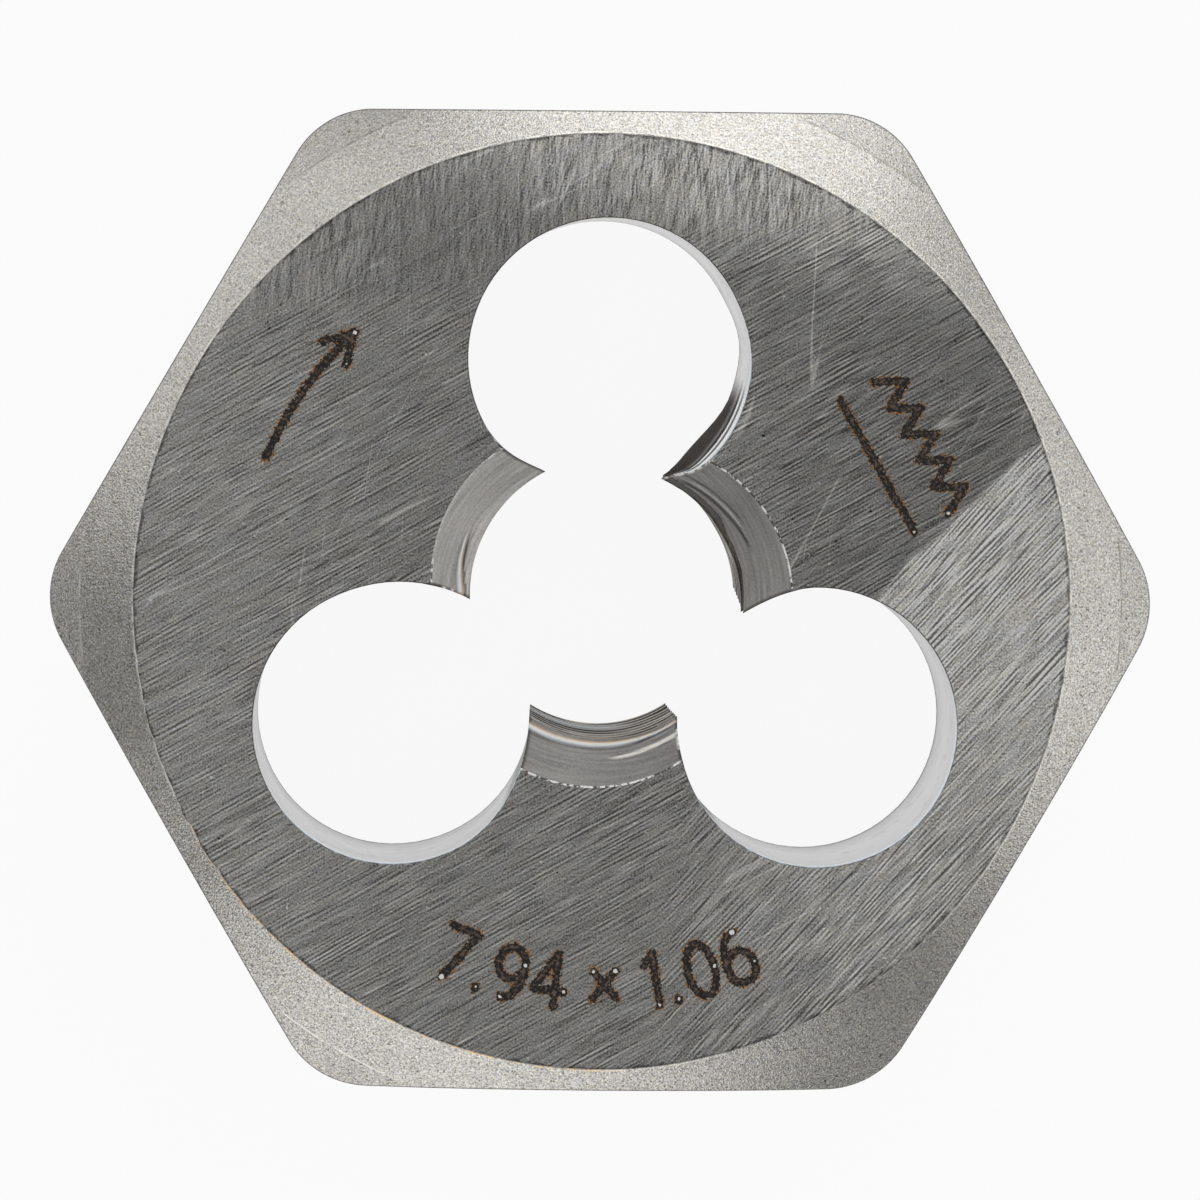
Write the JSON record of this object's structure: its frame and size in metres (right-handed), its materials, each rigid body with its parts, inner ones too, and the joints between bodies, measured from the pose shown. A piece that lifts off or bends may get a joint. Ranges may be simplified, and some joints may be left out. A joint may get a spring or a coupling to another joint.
{
  "type": "hex threading die",
  "caption": "Hexagonal steel threading die with a threaded throat, round chip clearance holes, coned faces and a relieved lead on the starting face.",
  "frame": {"origin": "centre of the back face, on the thread's axis", "axes": "+Z along the thread's axis towards the starting face; +X through a corner of the hexagon; +Y through the middle of a flat and of a chip hole"},
  "size_m": [0.0286, 0.0254, 0.0095],
  "materials": {
    "ground_steel": "surface-ground faces, blasted cones, bare and uncoated"
  },
  "bodies": {
    "root": {"hex_die": "ground_steel"}
  },
  "joints": []
}
